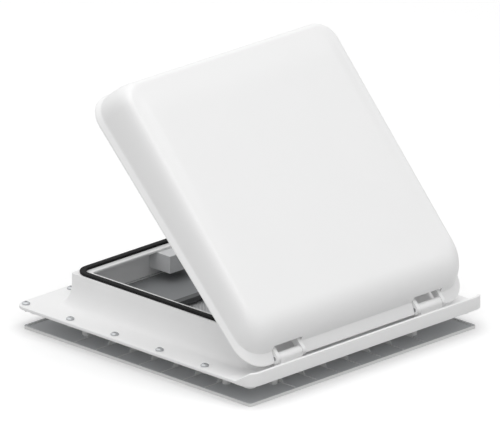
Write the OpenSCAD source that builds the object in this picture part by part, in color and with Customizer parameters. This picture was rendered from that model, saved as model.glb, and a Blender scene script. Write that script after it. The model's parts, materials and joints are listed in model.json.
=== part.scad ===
// Caravan roof vent: a flanged roof frame with a sealed upstand, a domed lid on
// two hinges held open by slotted stays, and a ceiling frame with blind and screen.
// Origin: centre of the vent on the underside of the ceiling frame, +Z up.
// X runs along the lid hinge, and the hinge is on the -Y side.

/* [Roof frame] */
// Side of the square flange that lies on the roof
flange_w = 480; // [450:1:510]
// Corner radius of the flange
flange_r = 20; // [14:1:30]
// Thickness of the flange
flange_t = 5; // [3.5:0.5:7]
// Height of the flange's underside above the ceiling frame's underside
flange_z = 32.5; // [30:0.5:40]
// Side of the square duct inside the upstand
duct_w = 352; // [330:1:356]
// Corner radius inside the duct
duct_r = 22; // [21:1:28]
// Wall of the upstand
upstand_wall = 6; // [4:0.5:7]
// Corner radius of the upstand's outer edge
upstand_r = 6; // [4:0.5:12]
// Height of the upstand's top above the flange
upstand_h = 48; // [45:0.5:53]
// Reach of the upstand's flared foot over the flange
flare = 20; // [12:1:22]
// Width of the lip that turns in at the upstand's top
lip_w = 16; // [13:0.5:17]
// Thickness of the turned-in lip
lip_t = 3; // [2:0.5:4]
// Height of the front weather bar, from the flange's underside
bar_h = 20; // [14:0.5:21]
// Thickness of the front weather bar
bar_t = 5; // [3:0.5:6]
// Length of the weather bar's ramps along the sides
bar_ramp = 30; // [20:1:40]
// Length of the duct's spigot below the flange
spigot_h = 8; // [5:0.5:9]
// Height of the corner pads under the flange
pad_h = 8; // [5:0.5:9]
// Radius of a corner pad's foot
pad_r = 9; // [6:0.5:12]
// Radius of a corner pad where it meets the flange
pad_top_r = 17; // [13:0.5:20]

/* [Seal] */
// Width of the rubber seal
seal_w = 9.5; // [8:0.5:12]
// Height of the rubber seal
seal_h = 4; // [3:0.5:6]

/* [Lid] */
// Width of the lid along the hinge
lid_w = 452; // [446:1:458]
// Depth of the lid from hinge edge to front edge
lid_d = 460; // [454:1:466]
// Corner radius of the lid's rim
lid_r = 42; // [36:1:52]
// Corner radius of the dome's flat top
top_r = 28; // [22:1:34]
// Height of the lid's sloping rim
rim_h = 9; // [7:0.5:12]
// Height of the flat top's middle over the rim's lower edge
lid_h = 56; // [54:0.5:64]
// Rise of the flat top over the lid's depth, from the hinge edge to the far edge
top_rise = 20; // [14:0.5:24]
// Wall of the lid's shell
lid_wall = 3; // [2:0.25:3.5]
// Lean of the rim at the sides and the far end
rim_ledge = 4.5; // [3:0.5:7]
// Lean of the rim at the hinge end
near_ledge = 16; // [12:0.5:18]
// Inset of the dome's flat top from the sides
side_inset = 23; // [18:1:30]
// Inset of the dome's flat top from the far edge
far_inset = 23; // [18:1:30]
// Inset of the dome's flat top from the hinge edge
near_inset = 62; // [50:1:70]
// Height of the ridge line over the flat top
ridge_h = 3; // [2:0.5:6]
// Distance of the ridge line from the far end of the flat top
ridge_in = 41; // [34:1:50]
// Angle at which the lid stands open
lid_open = 45; // [0:1:65]
// Thickness of the lid's inner panel
liner_t = 2.5; // [2:0.25:3]

/* [Hinges] */
// Distance of the hinge axis from the flange's front edge
hinge_in = 21; // [20:0.5:23]
// Height of the hinge axis above the flange
hinge_up = 17; // [16:0.5:19]
// Distance of each hinge from the middle
hinge_x = 142; // [120:1:155]
// Length of a hinge barrel
barrel_len = 44; // [36:1:56]
// Radius of a hinge barrel
barrel_r = 8; // [7:0.25:8.5]
// Radius of a hinge pin
pin_r = 3; // [2:0.25:3.5]
// Width of each ear on the lid's hinge leaf
ear_w = 6; // [4:0.5:7]
// Thickness of the lid's hinge leaf
leaf_t = 4; // [3:0.25:4.5]

/* [Stays] */
// Length of a stay between its pivot and its stud
stay_len = 110; // [100:1:120]
// Thickness of a stay
stay_t = 3; // [2:0.25:3.5]
// Half width of a stay
stay_r = 8; // [7:0.5:8.5]
// Radius of the stay's pivot pin
pivot_r = 4; // [3:0.25:5]
// Radius of the stud that slides in the lid's track
stud_r = 4; // [3:0.25:4.5]
// Thickness of a lid track
track_t = 3; // [2:0.25:3.5]
// Radius of a stay's clamp knob
knob_r = 9; // [8:0.25:9.5]
// Length of a stay's clamp knob
knob_len = 12; // [9:0.5:14]

/* [Catches] */
// Distance of each catch from the middle
catch_x = 70; // [50:1:90]
// Reach of a catch from its spindle
catch_len = 24; // [20:0.5:26]
// Radius of a catch's boss
catch_r = 8; // [7:0.25:8.5]
// Radius of a catch's spindle
spindle_r = 3; // [2:0.25:4]
// Thickness of a catch
catch_t = 7; // [5:0.5:8]
// Width of the lid's pull handle
handle_w = 96; // [70:1:120]
// Thickness of the lid's pull handle
handle_t = 9; // [7:0.5:12]
// Drop of the lid's pull handle below the inner panel
handle_drop = 26; // [22:0.5:30]

/* [Ceiling frame] */
// Side of the square ceiling frame
trim_w = 460; // [440:1:470]
// Thickness of the ceiling frame's plate
trim_t = 3; // [2:0.25:3.5]
// Height of the ceiling frame's edge
trim_edge_h = 5; // [4:0.5:6]
// Wall of the ceiling frame's collar
collar_wall = 3; // [2:0.25:3.5]
// Height of the ceiling frame's collar
collar_h = 44; // [41:0.5:44.5]
// Thickness of a stiffening rib
rib_t = 2; // [1.5:0.25:3]
// Number of stiffening ribs on each side
rib_count = 7; // [5:1:9]
// Height of the ribs beside the collar
rib_h = 22; // [14:0.5:24]
// Distance of each clamp screw from the middle of its side
clamp_off = 142; // [120:1:150]
// Radius of a clamp screw's boss
boss_r = 6; // [5:0.25:6.5]
// Radius of a clamp screw
clamp_r = 2; // [1.5:0.25:2.5]

/* [Flange screws] */
// Radius of a flange screw's head
head_r = 6; // [4:0.25:7]
// Height of a flange screw's head
head_h = 3.5; // [2:0.25:4]
// Radius of a flange screw
screw_r = 2.4; // [1.5:0.1:3]
// Length of a flange screw below its head
screw_len = 11; // [8:0.5:14]
// Distance of the screws from the flange's edge
screw_in = 13; // [10:0.5:15]
// Spacing of the flange screws along a side
screw_pitch = 90.8; // [80:0.2:94]

/* [Blind and screen] */
// Depth of the blind's pocket from the far wall
pocket_d = 98; // [80:1:120]
// Height of the blind's pocket and rails
pocket_h = 7; // [6:0.25:7.5]
// Width of a blind rail
rail_w = 12; // [9:0.5:14]
// Thickness of the shade panel
shade_t = 1.6; // [1:0.1:2]
// Depth of the shade's pull bar
bar_d = 11; // [8:0.5:14]
// Height of the insect screen's frame
screen_h = 6; // [5:0.25:7]
// Width of the insect screen's frame
screen_rim = 11; // [8:0.5:14]
// Number of gaps in the net along each side
net_gaps = 16; // [8:1:17]
// Width of a strand of the net
net_strand = 2; // [1:0.25:3]
// Thickness of the net
net_t = 1; // [0.6:0.1:1.5]

/* [Latch housing] */
// Width of the latch housing on the far wall
housing_w = 56; // [40:1:80]
// Depth of the latch housing from the duct's wall
housing_d = 42; // [30:1:48]
// Height of the latch housing
housing_h = 26; // [18:0.5:28]
// Wall of the latch housing
housing_wall = 3; // [2:0.25:4]

/* [Fits] */
// Radial clearance of a running fit
run_gap = 0.05; // [0.02:0.01:0.1]
// Clearance between parts that seat against each other
seat_gap = 0.3; // [0.1:0.05:0.4]
// Clearance between parts that pass each other
pass_gap = 1; // [0.5:0.1:1.2]

/* [Hidden] */
$fn = 64;
eps = 0.01;
far = 1000;
flange_top = flange_z + flange_t;
lip_top = flange_top + upstand_h;
seal_top = lip_top + seal_h;
duct_half = duct_w / 2;
pad_at = flange_w / 2 - pad_top_r - 7;
wall_w = duct_w + 2 * upstand_wall;
hinge_y = -flange_w / 2 + hinge_in;
hinge_z = flange_top + hinge_up;
// The foot's curve ends short of the hinge barrels
foot_flare = min(flare, -hinge_y - barrel_r - seat_gap - duct_half - upstand_wall);
thread_r = screw_r - 0.3;

// Lid in its closed place
rim_z = hinge_z - 4;
lid_y0 = hinge_y - barrel_r + 3;
lid_yc = lid_y0 + lid_d / 2;
liner_z = seal_top + 0.2;
notch_side = ear_w + seat_gap + 0.8;
notch_back = 23;
notch_h = 18;
leaf_y = lid_y0 + lid_wall + near_ledge + 8;
leaf_top_y = leaf_y + 13;
leaf_knee_z = hinge_z + 18;
leaf_foot_z = hinge_z - 4;

// Stays: the pivot lies one stay length from the hinge axis, so a stay turns
// twice as far as the lid and its stud stays on a line through that axis.
stay_y = hinge_y + stay_len;
stay_x = duct_half - lip_w - 10;
pin_head_t = 2;
track_x = stay_x - pin_head_t - pass_gap - 2 - track_t;
slot_r = stud_r + seat_gap;
lid_max = 65;
slot_from = 2 * stay_len * cos(lid_max + 2);
slot_to = 2 * stay_len;
track_rim = 4.5;
bracket_r = 9;
knob_gap = seat_gap;

// Catches and handle
catch_y = duct_half - lip_w - catch_r - 6;
catch_z = lip_top - lip_t - catch_t - 2;
handle_y = catch_y - 45;

// Ceiling frame
collar_out = duct_half - pass_gap;
collar_in = collar_out - collar_wall;
collar_r = duct_r - pass_gap - collar_wall;
boss_u = duct_half + upstand_wall + boss_r + pass_gap;
rib_low = 24;
sill_w = 8;
trim_r = 4;
sill_t = 3;
head_gap = 0.4;
clamp_head_r = 2 * clamp_r;
clamp_head_h = 3;

// Blind and screen, stacked on the sill inside the collar
sill_z = collar_h - 18;
screen_z = sill_z + sill_t + seat_gap;
pocket_z = screen_z + screen_h + seat_gap;
shade_z = pocket_z + (pocket_h - shade_t) / 2;
groove = shade_t + 2 * seat_gap;
fit_half = collar_in - seat_gap;
pocket_y = fit_half - pocket_d;
shade_d = pocket_d - collar_r;
shade_half = fit_half - rail_w / 2;

white = "#f2f2f2";
grey = "#a6a8aa";
dark = "#2a2a2c";
steel = "#b9bcc0";

// Rectangle with round corners, centred
module round_rect(w, d, r) {
  square([w - 2 * r, d], center = true);
  square([w, d - 2 * r], center = true);
  for (x = [-1, 1], y = [-1, 1]) translate([x * (w / 2 - r), y * (d / 2 - r)]) circle(r);
}

// Flat ring between two rectangles with round corners
module ring(w, r, rim, hole_r) {
  difference() {
    round_rect(w, w, r);
    round_rect(w - 2 * rim, w - 2 * rim, hole_r);
  }
}

// Section carried round a square path with round corners: x is outward, y is up
module carried(w, r) {
  for (k = [0 : 3]) rotate([0, 0, 90 * k]) {
    translate([w / 2, w / 2 - r, 0]) rotate([90, 0, 0]) linear_extrude(w - 2 * r) children();
    translate([w / 2 - r, w / 2 - r, 0]) rotate_extrude(angle = 90) translate([r, 0]) children();
  }
}

// Bar along X with a given section in Y and Z, centred on x
module along_x(x, len) {
  translate([x - len / 2, 0, 0]) rotate([90, 0, 90]) linear_extrude(len) children();
}

// Round bar along X between two places, on the axis at y and z
module rod_x(x0, x1, y, z, r) {
  translate([x0, y, z]) rotate([0, 90, 0]) cylinder(r = r, h = x1 - x0);
}

module on_side(side) {
  if (side < 0) mirror([1, 0, 0]) children();
  else children();
}

// Turns what is drawn closed up to the lid's open place
module lid_place() {
  translate([0, hinge_y, hinge_z]) rotate([lid_open, 0, 0])
    translate([0, -hinge_y, -hinge_z]) children();
}

// Turns what is drawn along the closed stay to its open place
module stay_place() {
  translate([0, stay_y, hinge_z]) rotate([2 * lid_open, 0, 0])
    translate([0, -stay_y, -hinge_z]) children();
}

function clamp_places() =
  [for (k = [0 : 3], s = [-1, 1]) let (a = 90 * k)
    [boss_u * cos(a) - s * clamp_off * sin(a), boss_u * sin(a) + s * clamp_off * cos(a)]];

function flange_places() =
  let (e = flange_w / 2 - screw_in)
  [for (side = [-1, 1], i = [0 : 4]) [side * e, e - i * screw_pitch],
   for (i = [1 : 4]) [(i - 2.5) * screw_pitch, e]];

// Concave foot outside the upstand's wall, sunk a little into wall and flange
module flare_section() {
  rise = upstand_h * 0.7;
  polygon(concat(
    [for (i = [0 : 8]) let (a = 90 * i / 8)
      [foot_flare * (1 - sin(a)), flange_top + rise * (1 - cos(a))]],
    [[-1, flange_top + rise], [-1, flange_top - 1], [foot_flare, flange_top - 1]]));
}

module weather_bar() {
  intersection() {
    translate([0, 0, flange_z]) linear_extrude(bar_h) ring(flange_w, flange_r, bar_t, flange_r - bar_t);
    along_x(0, far) polygon([[-flange_w / 2 - eps, flange_z], [-flange_w / 2 - eps, flange_z + bar_h],
      [-flange_w / 2 + bar_t, flange_z + bar_h], [-flange_w / 2 + bar_ramp, flange_top],
      [-flange_w / 2 + bar_ramp, flange_z]]);
  }
}

module outer_frame() color(white) difference() {
  union() {
    translate([0, 0, flange_z]) linear_extrude(flange_t) ring(flange_w, flange_r, flange_w / 2 - duct_half, duct_r);
    translate([0, 0, flange_z - spigot_h]) linear_extrude(spigot_h + 1)
      ring(wall_w, duct_r + upstand_wall, upstand_wall, duct_r);
    translate([0, 0, flange_top - 1]) linear_extrude(upstand_h + 1) ring(wall_w, upstand_r, upstand_wall, duct_r);
    translate([0, 0, lip_top - lip_t]) linear_extrude(lip_t)
      ring(wall_w, upstand_r, upstand_wall + lip_w, duct_r - lip_w);
    carried(wall_w, upstand_r) flare_section();
    weather_bar();
    for (p = clamp_places()) translate([p[0], p[1], flange_z - spigot_h]) cylinder(r = boss_r, h = spigot_h + 1);
    for (k = [0 : 3]) rotate([0, 0, 90 * k]) translate([pad_at, pad_at, flange_z - pad_h])
      cylinder(r1 = pad_r, r2 = pad_top_r, h = pad_h + 1);
  }
  for (p = clamp_places())
    translate([p[0], p[1], flange_z - spigot_h - eps]) cylinder(r = clamp_r + run_gap, h = spigot_h + flange_t - 1);
  for (p = flange_places())
    translate([p[0], p[1], flange_z - pad_h - eps]) cylinder(r = screw_r + run_gap, h = pad_h + flange_t + 2 * eps);
}

module frame_seal() color(dark) carried(duct_w, duct_r) {
  x1 = upstand_wall - 2;
  x0 = x1 - seal_w;
  polygon([[x0, lip_top], [x0, seal_top - 0.4 * seal_h], [x0 + 2, seal_top], [x1 - 2, seal_top],
    [x1, seal_top - 0.4 * seal_h], [x1, lip_top]]);
}

module flange_screws() color(steel) for (p = flange_places()) translate([p[0], p[1], flange_top]) difference() {
  union() {
    cylinder(r = head_r, h = head_h * 0.5);
    translate([0, 0, head_h * 0.5]) cylinder(r1 = head_r, r2 = head_r * 0.6, h = head_h * 0.5);
    translate([0, 0, -flange_t]) cylinder(r = screw_r, h = flange_t + eps);
    translate([0, 0, -screw_len]) cylinder(r = thread_r, h = screw_len - flange_t + eps);
  }
  translate([0, 0, head_h * 0.5]) cylinder(r = head_r * 0.3, h = head_h, $fn = 6);
}

module rib() {
  rotate([90, 0, 0]) translate([0, 0, -rib_t / 2]) linear_extrude(rib_t)
    polygon([[collar_out - collar_wall / 2, trim_t - 1], [trim_w / 2 - 1, trim_t - 1],
      [trim_w / 2 - 1, trim_edge_h - 1], [collar_out + rib_low, trim_edge_h - 1],
      [collar_out + rib_low / 2, rib_h], [collar_out - collar_wall / 2, rib_h]]);
}

module inner_frame() color(grey) difference() {
  union() {
    linear_extrude(trim_t) ring(trim_w, trim_r, trim_w / 2 - collar_in, collar_r);
    linear_extrude(trim_edge_h) ring(trim_w, trim_r, trim_t, trim_r / 2);
    linear_extrude(collar_h) ring(2 * collar_out, duct_r - pass_gap, collar_wall, collar_r);
    translate([0, 0, sill_z]) linear_extrude(sill_t) ring(2 * collar_in + 2, collar_r + 1, sill_w + 1,
      collar_r - sill_w);
    for (k = [0 : 3], i = [0 : rib_count - 1]) rotate([0, 0, 90 * k])
      translate([0, (i - (rib_count - 1) / 2) * (duct_w - 2 * duct_r) / rib_count, 0]) rib();
    for (p = clamp_places()) translate([p[0], p[1], 0]) cylinder(r = boss_r, h = flange_z - spigot_h - seat_gap);
  }
  for (p = clamp_places()) translate([p[0], p[1], 0]) {
    translate([0, 0, -eps]) cylinder(r = clamp_r + run_gap, h = flange_z);
    translate([0, 0, -eps]) cylinder(r = clamp_head_r + head_gap, h = clamp_head_h + head_gap);
  }
}

module clamp_screws() color(steel) for (p = clamp_places()) translate([p[0], p[1], head_gap]) difference() {
  union() {
    cylinder(r = clamp_head_r, h = clamp_head_h);
    cylinder(r = clamp_r, h = flange_z);
  }
  translate([0, 0, -eps]) cylinder(r = clamp_r * 0.8, h = clamp_head_h / 2, $fn = 6);
}

module latch_housing() color(grey) {
  y0 = duct_half - seat_gap - housing_d;
  z0 = lip_top - lip_t - seat_gap - housing_h;
  difference() {
    translate([-housing_w / 2, y0, z0]) cube([housing_w, housing_d, housing_h]);
    translate([-housing_w / 2 + housing_wall, y0 + housing_wall, z0 - eps])
      cube([housing_w - 2 * housing_wall, housing_d - 2 * housing_wall, housing_h - housing_wall]);
  }
}

module screen_frame() color(grey) difference() {
  hole = 2 * (fit_half - screen_rim);
  translate([0, 0, screen_z]) linear_extrude(screen_h) ring(2 * fit_half, collar_r, screen_rim, collar_r / 2);
  translate([0, 0, screen_z + (screen_h - net_t) / 2]) linear_extrude(net_t)
    square(hole + screen_rim, center = true);
}

module screen_net() color("#8f9294") {
  side = 2 * (fit_half - screen_rim) + screen_rim - 2 * seat_gap;
  pitch = (side - net_strand) / net_gaps;
  translate([0, 0, screen_z + (screen_h - net_t) / 2 + eps]) linear_extrude(net_t - 2 * eps) union() {
    for (i = [0 : net_gaps]) {
      translate([-side / 2 + i * pitch, -side / 2]) square([net_strand, side]);
      translate([-side / 2, -side / 2 + i * pitch]) square([side, net_strand]);
    }
  }
}

// Flat piece of the blind's height, cut to the collar's round corners
module in_collar() {
  translate([0, 0, pocket_z]) linear_extrude(pocket_h) intersection() {
    round_rect(2 * fit_half, 2 * fit_half, collar_r);
    children();
  }
}

module blind_pocket() color("#77797b") difference() {
  in_collar() translate([-fit_half, pocket_y]) square([2 * fit_half, pocket_d]);
  translate([-shade_half - seat_gap, pocket_y - eps, shade_z - seat_gap])
    cube([2 * (shade_half + seat_gap), shade_d + seat_gap, groove]);
}

module blind_rail(side) color(grey) on_side(side) difference() {
  in_collar() translate([fit_half - rail_w, -fit_half]) square([rail_w, pocket_y + fit_half - seat_gap]);
  translate([fit_half - rail_w - eps, -fit_half - eps, shade_z - seat_gap])
    cube([rail_w / 2 + seat_gap, far, groove]);
}

module shade_panel() color("#6f7173") translate([-shade_half, pocket_y - bar_d / 2, shade_z])
  cube([2 * shade_half, shade_d + bar_d / 2, shade_t]);

module shade_bar() color("#4b4d4f") {
  half = fit_half - rail_w - pass_gap;
  difference() {
    along_x(0, 2 * half) translate([pocket_y - bar_d - seat_gap, pocket_z]) square([bar_d, pocket_h + 2]);
    translate([-shade_half, pocket_y - bar_d / 2, shade_z]) cube([2 * shade_half, bar_d, shade_t]);
  }
}

module hinge_slab(r) {
  translate([hinge_y, hinge_z]) circle(r);
  translate([hinge_y - r, flange_top]) square([2 * r, hinge_z - flange_top]);
}

module frame_hinge(side) color(white) on_side(side) difference() {
  along_x(hinge_x, barrel_len) hinge_slab(barrel_r - 0.5);
  rod_x(hinge_x - far / 2, hinge_x + far / 2, hinge_y, hinge_z, pin_r + run_gap);
}

module hinge_pin(side) color(steel) on_side(side) {
  half = barrel_len / 2 + ear_w + seat_gap;
  rod_x(hinge_x - half, hinge_x + half, hinge_y, hinge_z, pin_r);
}

module leaf_section() {
  polygon([[leaf_y, leaf_foot_z], [leaf_y + leaf_t, leaf_foot_z], [leaf_y + leaf_t, leaf_knee_z],
    [leaf_top_y + leaf_t, liner_z], [leaf_top_y, liner_z], [leaf_y, leaf_knee_z]]);
}

module ear_section() {
  translate([hinge_y, hinge_z]) circle(barrel_r - 0.5);
  translate([hinge_y, leaf_foot_z]) square([leaf_y + leaf_t - hinge_y, barrel_r - 0.5 + hinge_z - leaf_foot_z]);
}

module lid_hinge(side) color(white) lid_place() on_side(side) difference() {
  union() {
    along_x(hinge_x, barrel_len + 2 * (ear_w + seat_gap)) leaf_section();
    for (s = [-1, 1]) along_x(hinge_x + s * (barrel_len / 2 + seat_gap + ear_w / 2), ear_w) ear_section();
  }
  rod_x(hinge_x - far / 2, hinge_x + far / 2, hinge_y, hinge_z, pin_r + run_gap);
}

module stay_bracket(side) color(white) on_side(side) difference() {
  union() {
    rod_x(stay_x + stay_t + seat_gap, duct_half, stay_y, hinge_z, bracket_r);
    translate([duct_half - 4, stay_y - bracket_r, hinge_z - bracket_r]) cube([4, 2 * bracket_r, 2 * bracket_r]);
  }
  rod_x(0, duct_half - 4, stay_y, hinge_z, pivot_r + run_gap);
}

module stay_pin(side) color(steel) on_side(side) {
  rod_x(stay_x - seat_gap, duct_half - 4 - seat_gap, stay_y, hinge_z, pivot_r);
  rod_x(stay_x - seat_gap - pin_head_t, stay_x - seat_gap, stay_y, hinge_z, pivot_r + 2);
}

module stay(side) color(steel) stay_place() on_side(side) difference() {
  along_x(stay_x + stay_t / 2, stay_t) {
    translate([stay_y, hinge_z - stay_r]) square([stay_len, 2 * stay_r]);
    for (d = [0, stay_len]) translate([stay_y + d, hinge_z]) circle(stay_r);
  }
  rod_x(0, far, stay_y, hinge_z, pivot_r + run_gap);
  rod_x(0, far, stay_y + stay_len, hinge_z, stud_r + run_gap);
}

module stay_stud(side) color(steel) stay_place() on_side(side)
  rod_x(track_x - knob_gap - knob_len + 2, stay_x + stay_t, stay_y + stay_len, hinge_z, stud_r);

module stay_knob(side) color(dark) stay_place() on_side(side) difference() {
  x1 = track_x - knob_gap;
  rod_x(x1 - knob_len, x1, stay_y + stay_len, hinge_z, knob_r);
  rod_x(x1 - knob_len + 2 - seat_gap, far, stay_y + stay_len, hinge_z, stud_r + run_gap);
  for (a = [0 : 60 : 300])
    rod_x(x1 - knob_len - eps, x1 - 3, stay_y + stay_len + knob_r * cos(a), hinge_z + knob_r * sin(a), knob_r * 0.25);
}

module lid_track(side) color(white) lid_place() on_side(side) along_x(track_x + track_t / 2, track_t) difference() {
  translate([hinge_y + slot_from - slot_r - track_rim, hinge_z - slot_r - track_rim])
    square([slot_to - slot_from + 2 * (slot_r + track_rim), liner_z - hinge_z + slot_r + track_rim]);
  translate([hinge_y + slot_from, hinge_z - slot_r]) square([slot_to - slot_from, 2 * slot_r]);
  for (d = [slot_from, slot_to]) translate([hinge_y + d, hinge_z]) circle(slot_r);
}

// Form that rises by a slope along Y
module leaning(slope) {
  multmatrix([[1, 0, 0, 0], [0, 1, 0, 0], [0, slope, 1, 0]]) children();
}

// Dome of the lid: rounded outlines that draw in as they rise along a curve
// from the rim's ledge to a top that leans up towards the far end, with a ridge
// across it near that end. The whole form is shrunk all round by inset.
module lid_form(inset) {
  top = lid_h - inset;
  w = lid_w - 2 * inset;
  d = lid_d - 2 * inset;
  steps = 9;
  slab = 0.1;
  translate([0, lid_yc, rim_z]) hull() {
    for (i = [0 : steps]) {
      t = i / steps;
      draw = 2 * t * (1 - t) * 0.2 + t * t;
      up = 1 - (1 - t) * (1 - t);
      z = rim_h + up * (top - rim_h);
      r = lid_r - 5 + t * (top_r - lid_r + 5);
      near = near_ledge + draw * (near_inset - near_ledge);
      far_in = rim_ledge + draw * (far_inset - rim_ledge);
      side = rim_ledge + draw * (side_inset - rim_ledge);
      leaning(up * top_rise / lid_d) translate([0, (near - far_in) / 2, z - slab]) linear_extrude(slab)
        round_rect(w - 2 * side, d - near - far_in, r - inset);
    }
    leaning(top_rise / lid_d) translate([0, d / 2 - far_inset - ridge_in, top + ridge_h - slab])
      cube([w - 2 * side_inset - 30, 1, 2 * slab], center = true);
  }
}

// Sloping rim of the lid, shrunk all round by inset and lowered by drop
module rim_form(inset, drop) {
  slab = 0.1;
  translate([0, lid_yc, rim_z - drop]) hull() {
    linear_extrude(2) round_rect(lid_w - 2 * inset, lid_d - 2 * inset, lid_r - inset);
    translate([0, (near_ledge - rim_ledge) / 2, rim_h + drop - slab]) linear_extrude(slab)
      round_rect(lid_w - 2 * (inset + rim_ledge), lid_d - 2 * inset - near_ledge - rim_ledge, lid_r - inset - 5);
  }
}

module lid_shell() color(white) lid_place() difference() {
  union() {
    lid_form(0);
    rim_form(0, 0);
  }
  lid_form(lid_wall);
  rim_form(lid_wall, 1);
  for (s = [-1, 1]) translate([s * hinge_x - barrel_len / 2 - notch_side, lid_y0 - 1, rim_z - 1])
    cube([barrel_len + 2 * notch_side, notch_back + 1, notch_h + 1]);
}

module lid_liner() color(white) lid_place() intersection() {
  lid_form(lid_wall + seat_gap);
  translate([-far / 2, -far / 2, liner_z]) cube([far, far, liner_t]);
}

module lid_handle() color(white) lid_place() difference() {
  translate([-handle_w / 2, handle_y, liner_z - handle_drop]) cube([handle_w, 1.4 * handle_t, handle_drop]);
  translate([-handle_w / 2 + handle_t, handle_y - eps, liner_z - handle_drop + handle_t])
    cube([handle_w - 2 * handle_t, far, handle_drop]);
}

module catch_post(side) color(white) lid_place() on_side(side) translate([catch_x, catch_y, 0]) {
  translate([0, 0, catch_z + catch_t + seat_gap]) cylinder(r = catch_r - 1, h = liner_z - catch_z - catch_t - seat_gap);
  translate([0, 0, catch_z - seat_gap - 2]) cylinder(r = spindle_r, h = liner_z - catch_z);
  translate([0, 0, catch_z - seat_gap - 4]) cylinder(r = spindle_r + 2, h = 4);
}

module catch(side) color(dark) lid_place() on_side(side) translate([catch_x, catch_y, catch_z]) difference() {
  union() {
    cylinder(r = catch_r, h = catch_t);
    translate([-catch_len, -catch_r * 0.6, 0]) cube([catch_len, catch_r * 1.2, catch_t]);
  }
  translate([0, 0, -eps]) cylinder(r = spindle_r + run_gap, h = catch_t + 2 * eps);
}

outer_frame();
frame_seal();
flange_screws();
inner_frame();
clamp_screws();
latch_housing();
screen_frame();
screen_net();
blind_pocket();
blind_rail(-1);  // blind_rail_left
blind_rail(1);  // blind_rail_right
frame_hinge(-1);  // frame_hinge_left
frame_hinge(1);  // frame_hinge_right
hinge_pin(-1);  // hinge_pin_left
hinge_pin(1);  // hinge_pin_right
stay_bracket(-1);  // stay_bracket_left
stay_bracket(1);  // stay_bracket_right
stay_pin(-1);  // stay_pin_left
stay_pin(1);  // stay_pin_right
lid_shell();
lid_liner();
lid_hinge(-1);  // lid_hinge_left
lid_hinge(1);  // lid_hinge_right
lid_track(-1);  // lid_track_left
lid_track(1);  // lid_track_right
lid_handle();
catch_post(-1);  // catch_post_left
catch_post(1);  // catch_post_right
catch(-1);  // catch_left
catch(1);  // catch_right
stay(-1);  // stay_left
stay(1);  // stay_right
stay_stud(-1);  // stay_stud_left
stay_stud(1);  // stay_stud_right
stay_knob(-1);  // stay_knob_left
stay_knob(1);  // stay_knob_right
shade_panel();
shade_bar();
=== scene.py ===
import json
import math

import bpy
import numpy as np
from bpy.props import FloatProperty, FloatVectorProperty, PointerProperty
from mathutils import Matrix, Vector


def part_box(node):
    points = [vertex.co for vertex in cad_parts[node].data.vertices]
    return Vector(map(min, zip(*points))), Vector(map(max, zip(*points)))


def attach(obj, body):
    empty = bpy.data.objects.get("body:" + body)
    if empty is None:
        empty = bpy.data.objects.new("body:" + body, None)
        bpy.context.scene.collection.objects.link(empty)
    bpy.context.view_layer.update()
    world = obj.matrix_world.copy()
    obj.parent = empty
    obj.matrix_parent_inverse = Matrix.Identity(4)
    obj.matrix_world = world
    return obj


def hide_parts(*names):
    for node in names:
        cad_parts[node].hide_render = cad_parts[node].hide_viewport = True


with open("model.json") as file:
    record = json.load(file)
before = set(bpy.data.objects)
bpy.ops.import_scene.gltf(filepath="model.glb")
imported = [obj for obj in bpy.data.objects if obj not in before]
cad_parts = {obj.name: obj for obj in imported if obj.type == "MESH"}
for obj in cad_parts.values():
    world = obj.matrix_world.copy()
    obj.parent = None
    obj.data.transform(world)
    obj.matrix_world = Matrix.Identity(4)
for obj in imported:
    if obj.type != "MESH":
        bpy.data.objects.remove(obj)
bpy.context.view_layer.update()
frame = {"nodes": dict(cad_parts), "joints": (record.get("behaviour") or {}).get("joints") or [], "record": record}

bl_info = {
    "name": "Roof vent dressing",
    "version": (1, 0, 0),
    "blender": (4, 5, 0),
    "location": "View3D > Sidebar > Roof vent",
    "description": "Dresses a caravan roof vent with moulded shells, seal, hinges, net and finishes",
    "category": "Object",
}

MM = 0.001
SIDES = {"left": -1, "right": 1}

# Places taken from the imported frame, in metres
JOINT = {joint["name"]: joint for joint in frame["joints"]}
HINGE = np.array(JOINT["lid_hinge"]["pos_m"], float)
LID_OPEN = math.radians(-JOINT["lid_hinge"]["range_deg"][0])
FLANGE_LOW, FLANGE_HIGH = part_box("outer_frame")
SEAL_LOW, SEAL_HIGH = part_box("frame_seal")
PIN_LOW, PIN_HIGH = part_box("hinge_pin_right")
BARREL_LOW, BARREL_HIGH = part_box("frame_hinge_right")
NET_LOW, NET_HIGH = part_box("screen_net")

# Small forms of the mouldings, in metres
RIM_EDGE = 2.0 * MM  # upright edge at the foot of the lid's rim
RIM_TIGHTER = 5.0 * MM  # by which the rim's corner radius is less at the top of its slope
RIDGE_SOFT = 3.0 * MM  # rounding of the ridge's crest
RIDGE_FADE = 22.0 * MM  # band at the sides over which the ridge fades out
FRAME_ROUND = 1.2 * MM  # round on the edges of the roof frame and the hinge blocks
FLANGE_INSET = 0.3 * MM  # flange's edge inside the weather bar's outer face
LIP_HOLD = 4.0 * MM  # extra ring of the duct's wall below the lip, for even shading
SEAL_FOOT = 1.5 * MM  # height at which the seal's bulb starts
SEAL_TUCK = 0.5 * MM  # tuck of the seal's foot under its bulb
BAR_ROUND = 1.0 * MM  # round on the weather bar's edges
BOSS_GAP = 1.0 * MM  # room between a boss and the duct's wall
PAD_INSET = 7.0 * MM  # a corner pad's top from the flange's edge
OVERLAP = 1.0 * MM  # by which a cutter or a joined solid passes a face

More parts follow.
